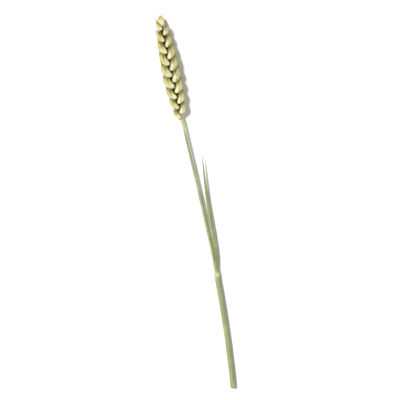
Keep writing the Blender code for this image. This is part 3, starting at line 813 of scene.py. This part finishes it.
def build_collar(material):
    """The two auricles that hook round the straw, and the ligule inside the rim."""
    sheets = Sheets()
    along, right, up = line_axes(SHEATH_LENGTH)
    below_rim = SHEATH_LENGTH - COLLAR_HOOKS
    centre = middle_line(below_rim)
    rows, sides = AURICLE_GRID
    for side in (-1.0, 1.0):
        k = np.linspace(*AURICLE_STEPS, rows)[:, None]
        turn = np.radians(AURICLE_TURN[0] + AURICLE_TURN[1] * k)
        reach = AURICLE_REACH + AURICLE_RISE[0] * k
        line = centre + (right * np.cos(turn) + up * (side * np.sin(turn))) * reach
        line = line + along * (AURICLE_RISE[1] * k)
        left = 1.0 - (k - AURICLE_STEPS[0]) / AURICLE_TAPER
        radius = AURICLE_RADIUS * np.sqrt(np.clip(left, 0.02, 1.0))
        spin = turns(sides)
        radial = unit(line - centre)
        thick = (AURICLE_FLAT * np.cos(spin))[:, None]
        spokes = radial[:, None, :] * thick + along * np.sin(spin)[:, None]
        sheets.add_tube(line[:, None, :] + spokes * radius[..., None], {
            "along": 0.9, "across": 0.0, "tone": 0.7, "ring": 1.0, "inside": 0.0,
        })
    sheets.piece("leaf_auricles", material, "leaf", SHARP_ON_STALK)

    sheets = Sheets()
    rows, columns = LIGULE_GRID
    w = np.linspace(-1.0, 1.0, columns)[None, :]
    rise = np.linspace(0.0, 1.0, rows)[:, None]
    ragged = np.sin(9.0 * w + 0.5) * np.sin(23.0 * w) + 0.5 * np.sin(41.0 * w)
    edge = LIGULE_HEIGHT + LIGULE_RAGGED * ragged
    distance = below_rim + rise * edge * (1.0 - 0.5 * w ** 4)
    turn = BLADE_WRAP * 1.1 * w
    radius = LIGULE_RADIUS - 0.10 * MM * rise + 0.03 * MM * np.sin(15.0 * w + 3.0 * rise)
    spokes = right * np.cos(turn)[..., None] + up * np.sin(turn)[..., None]
    base = middle_line(distance)
    outer = base + spokes * radius[..., None]
    inner = base + spokes * (radius - LIGULE_SKIN)[..., None]
    sheets.add_shell(outer, inner, {"along": 0.0, "across": w, "tone": 0.9, "ring": 0.8})
    sheets.piece("leaf_ligule", material, "leaf", SHARP_ON_STALK)


class Nodes:
    """Short ways to add and join shader nodes of a material, or of the world."""

    def __init__(self, owner, shader="Principled BSDF"):
        owner.use_nodes = True
        self.owner, self.tree = owner, owner.node_tree
        self.shader = self.tree.nodes[shader]

    def join(self, value, socket):
        if isinstance(value, bpy.types.NodeSocket):
            self.tree.links.new(value, socket)
        else:
            socket.default_value = value

    def add(self, kind, inputs=None, output=0, **settings):
        node = self.tree.nodes.new(kind)
        for name, value in settings.items():
            setattr(node, name, value)
        for name, value in (inputs or {}).items():
            self.join(value, node.inputs[name])
        return node.outputs[output]

    def value(self, name):
        return self.add("ShaderNodeAttribute", output=2, attribute_name=name)

    def math(self, operation, a, b=0.0):
        return self.add("ShaderNodeMath", {0: a, 1: b}, operation=operation)

    def span(self, value, low, high, to_low, to_high):
        """Map a value from one range to another, eased and held at the ends."""
        return self.add("ShaderNodeMapRange", {
            "Value": value, "From Min": low, "From Max": high, "To Min": to_low, "To Max": to_high,
        }, interpolation_type="SMOOTHSTEP")

    def mix(self, share, a, b):
        return self.add("ShaderNodeMix", {0: share, 6: a, 7: b}, output=2, data_type="RGBA")

    def tint(self, colour, value, limits, share, tinge):
        """Mix a tinge in by up to a share, as a value goes from one limit to the other."""
        return self.mix(self.span(value, *limits, 0.0, share), colour, tinge)

    def wash(self, colour, value, share, tinge):
        """Mix a tinge in by a value times a share."""
        return self.mix(self.math("MULTIPLY", value, share), colour, tinge)

    def stretched(self, x, x_scale, y, y_scale, z=0.0):
        """A place made of two values, each with a scale of its own."""
        x, y = self.math("MULTIPLY", x, x_scale), self.math("MULTIPLY", y, y_scale)
        return self.add("ShaderNodeCombineXYZ", {0: x, 1: y, 2: z})

    def ramp(self, value, stops):
        """Colours at places from 0 to 1."""
        node = self.tree.nodes.new("ShaderNodeValToRGB")
        points = node.color_ramp.elements
        while len(points) < len(stops):
            points.new(0.5)
        for point, (place, colour) in zip(points, stops):
            point.position = place
            point.color = colour
        self.join(value, node.inputs[0])
        return node.outputs[0]

    def noise(self, vector, scale, detail, rough):
        return self.add("ShaderNodeTexNoise", {
            "Vector": vector, "Scale": scale, "Detail": detail, "Roughness": rough,
        })

    def place(self):
        return self.add("ShaderNodeTexCoord", output=3)

    def bump(self, height, strength, distance, under=None):
        inputs = {"Strength": strength, "Distance": distance, "Height": height}
        if under is not None:
            inputs["Normal"] = under
        return self.add("ShaderNodeBump", inputs)

    def finish(self, colour, roughness, normal):
        self.join(colour, self.shader.inputs["Base Color"])
        self.join(roughness, self.shader.inputs["Roughness"])
        self.join(normal, self.shader.inputs["Normal"])
        return self.owner


def rgb(red, green, blue):
    """A screen colour, 0 to 255, as the linear colour that a shader takes."""
    shares = (red / 255.0, green / 255.0, blue / 255.0)
    return (*(c / 12.92 if c <= 0.04045 else ((c + 0.055) / 1.055) ** 2.4 for c in shares), 1.0)


def husk_material():
    """Dry husk: cream and full at the foot, olive straw further up, dark tan at the point, with a
    painted highlight on the swollen foot and painted shade in its crevices, margins and gaps.
    """
    n = Nodes(bpy.data.materials.new("husk_straw_gold"))
    along, across, tone, inside, deep = (
        n.value(name) for name in ("along", "across", "tone", "inside", "painted_gap_shade"))
    place = n.place()
    # The ramp is the husk's own colour, cream foot, olive straw and dark tan point, and also painted
    # light: painted shade at the very foot, where it sits deep between husks, and a painted
    # highlight just above it, on the swollen foot
    colour = n.ramp(along, (
        (0.0, rgb(84, 76, 30)), (0.04, rgb(222, 216, 168)), (0.16, rgb(255, 254, 236)),
        (0.33, rgb(242, 238, 192)), (0.56, rgb(208, 202, 138)), (1.0, rgb(88, 74, 28)),
    ))
    mottle = n.noise(place, 420.0, 4.0, 0.6)
    streak = n.noise(n.stretched(across, 9.0, along, 1.4, tone), 2.2, 4.0, 0.55)
    speck = n.noise(place, 2600.0, 2.0, 0.5)
    edge = n.math("ABSOLUTE", across)
    colour = n.tint(colour, mottle, (0.42, 0.70), 0.5, rgb(158, 154, 80))
    colour = n.tint(colour, tone, (0.45, 1.0), 0.30, rgb(206, 184, 126))
    colour = n.tint(colour, tone, (0.50, 0.0), 0.35, rgb(172, 180, 112))
    colour = n.tint(colour, streak, (0.48, 0.74), 0.60, rgb(122, 112, 44))
    # The margins darken: partly the husk's own dark margin, partly painted shade where husks lap
    # over each other
    colour = n.tint(colour, edge, (0.72, 0.98), 0.65, rgb(118, 106, 38))
    colour = n.tint(colour, speck, (0.66, 0.76), 0.55, rgb(98, 78, 40))
    # Painted shade: the gaps deep inside the head, between the husks and round the rachis, are
    # coloured nearly black olive
    colour = n.tint(colour, deep, (0.12, 0.40), 0.97, rgb(50, 42, 6))
    # Painted shade: the inner faces of the husks and the floret bodies are washed darker olive
    colour = n.wash(colour, inside, 0.6, rgb(116, 103, 46))
    fine = n.noise(n.stretched(across, 26.0, along, 3.0, tone), 3.0, 3.0, 0.5)
    normal = n.bump(fine, 0.35, 0.06 * MM, n.bump(mottle, 0.25, 0.15 * MM))
    roughness = n.span(streak, 0.3, 0.8, 0.40, 0.60)
    # The same mask of painted shade lowers the specular level deep in the head
    n.join(n.span(deep, 0.05, 0.35, 0.5, 0.08), n.shader.inputs["Specular IOR Level"])
    return n.finish(colour, roughness, normal)


def rachis_material():
    """The ear's stem: yellow-green at its foot, dark olive between the spikelets as painted shade.
    """
    n = Nodes(bpy.data.materials.new("rachis_olive_straw"))
    ring, height, across = n.value("ring"), n.value("along"), n.value("across")
    grain = n.noise(n.stretched(across, 11.0, height, 24.0), 1.0, 5.0, 0.65)
    colour = n.ramp(grain, (
        (0.30, rgb(132, 132, 74)), (0.50, rgb(168, 166, 102)), (0.72, rgb(204, 200, 140)),
    ))
    # Painted shade: above its foot the rachis goes dark olive, where it lies between the spikelets
    colour = n.tint(colour, height, (0.05, 0.18), 1.0, rgb(62, 54, 14))
    colour = n.wash(colour, ring, 0.5, rgb(206, 202, 138))
    return n.finish(colour, 0.6, n.bump(grain, 0.4, 0.1 * MM))


def straw_material():
    """Sage-green stem with a pale waxy bloom, yellower just under the ear."""
    n = Nodes(bpy.data.materials.new("straw_sage_green"))
    along, around, ring, inside = (n.value(name) for name in ("along", "across", "ring", "inside"))
    place = n.place()
    lines = n.noise(n.stretched(around, 95.0, along, 7.0), 1.0, 5.0, 0.65)
    patch = n.noise(place, 90.0, 3.0, 0.5)
    speck = n.noise(place, 1500.0, 2.0, 0.5)
    colour = n.ramp(lines, (
        (0.30, rgb(98, 108, 66)), (0.50, rgb(134, 145, 98)), (0.72, rgb(182, 192, 146)),
    ))
    colour = n.tint(colour, patch, (0.45, 0.70), 0.6, rgb(168, 176, 124))
    colour = n.wash(colour, ring, 0.75, rgb(196, 190, 122))
    colour = n.tint(colour, speck, (0.68, 0.76), 0.5, rgb(92, 88, 52))
    colour = n.mix(inside, colour, rgb(196, 188, 140))
    normal = n.bump(lines, 0.5, 0.08 * MM)
    return n.finish(colour, n.span(lines, 0.3, 0.7, 0.42, 0.56), normal)


def leaf_material():
    """Grey-green leaf with fine parallel veins, dry tan margins and a pale collar."""
    n = Nodes(bpy.data.materials.new("leaf_sage_green"))
    along, across, ring, inside = (n.value(name) for name in ("along", "across", "ring", "inside"))
    place = n.place()
    lines = n.noise(n.stretched(across, 52.0, along, 4.0), 1.0, 5.0, 0.65)
    patch = n.noise(place, 110.0, 4.0, 0.6)
    speck = n.noise(place, 1300.0, 2.0, 0.5)
    edge = n.math("ABSOLUTE", across)
    colour = n.ramp(lines, (
        (0.30, rgb(92, 104, 62)), (0.50, rgb(128, 141, 94)), (0.72, rgb(174, 185, 140)),
    ))
    colour = n.tint(colour, patch, (0.48, 0.72), 0.65, rgb(174, 172, 118))
    colour = n.tint(colour, edge, (0.88, 1.0), 0.7, rgb(196, 188, 138))
    colour = n.wash(colour, ring, 0.85, n.mix(lines, rgb(176, 172, 116), rgb(222, 216, 168)))
    colour = n.tint(colour, speck, (0.67, 0.75), 0.5, rgb(96, 84, 48))
    colour = n.wash(colour, inside, 0.3, rgb(170, 176, 126))
    normal = n.bump(lines, 0.45, 0.08 * MM)
    return n.finish(colour, n.span(lines, 0.3, 0.7, 0.46, 0.62), normal)


def build_world():
    """White at the level of the eye and dimmer overhead, so that gaps between husks stay dark."""
    n = Nodes(bpy.data.worlds.new("studio"), "Background")
    upward = n.add("ShaderNodeSeparateXYZ", {0: n.add("ShaderNodeTexCoord")}, output=2)
    n.join(n.span(upward, *WORLD_FADES, *WORLD_LIGHT), n.shader.inputs["Strength"])
    n.join((1.0, 1.0, 1.0, 1.0), n.shader.inputs["Color"])
    bpy.context.scene.world = n.owner


def build_stage():
    """A white floor, a soft light from the upper left, a weak one across from it, the camera."""
    bpy.ops.mesh.primitive_plane_add(size=FLOOR_SIZE, location=(0.0, 0.0, 0.0))
    floor = bpy.context.object
    floor.name = "floor"
    n = Nodes(bpy.data.materials.new("pale_floor"))
    n.shader.inputs["Base Color"].default_value = FLOOR_COLOUR
    n.shader.inputs["Roughness"].default_value = 0.9
    n.shader.inputs["Specular IOR Level"].default_value = 0.1
    floor.data.materials.append(n.owner)
    build_world()

    for name, place, angle, power in SUNS:
        light = bpy.data.lights.new(name, "SUN")
        light.angle = math.radians(angle)
        light.energy = power
        lamp = bpy.data.objects.new(name, light)
        bpy.context.scene.collection.objects.link(lamp)
        lamp.location = place
        lamp.rotation_euler = (-Vector(place)).to_track_quat("-Z", "Y").to_euler()

    camera = bpy.data.cameras.new("camera")
    camera.lens = CAMERA_LENS
    eye = bpy.data.objects.new("camera", camera)
    bpy.context.scene.collection.objects.link(eye)
    low, high = cad_box
    view = (high.y - low.y) * VIEW_MARGIN
    eye.location = (0.0, 0.0, view * camera.lens / camera.sensor_width)
    eye.rotation_euler = (0.0, 0.0, -CAMERA_ROLL)
    bpy.context.scene.camera = eye
    bpy.context.scene.view_settings.view_transform = "Standard"


build_ear(husk_material())
build_rachis(rachis_material())
build_straw(straw_material())
leaf = leaf_material()
build_sheath(leaf)
build_blade(leaf)
build_collar(leaf)
build_stage()
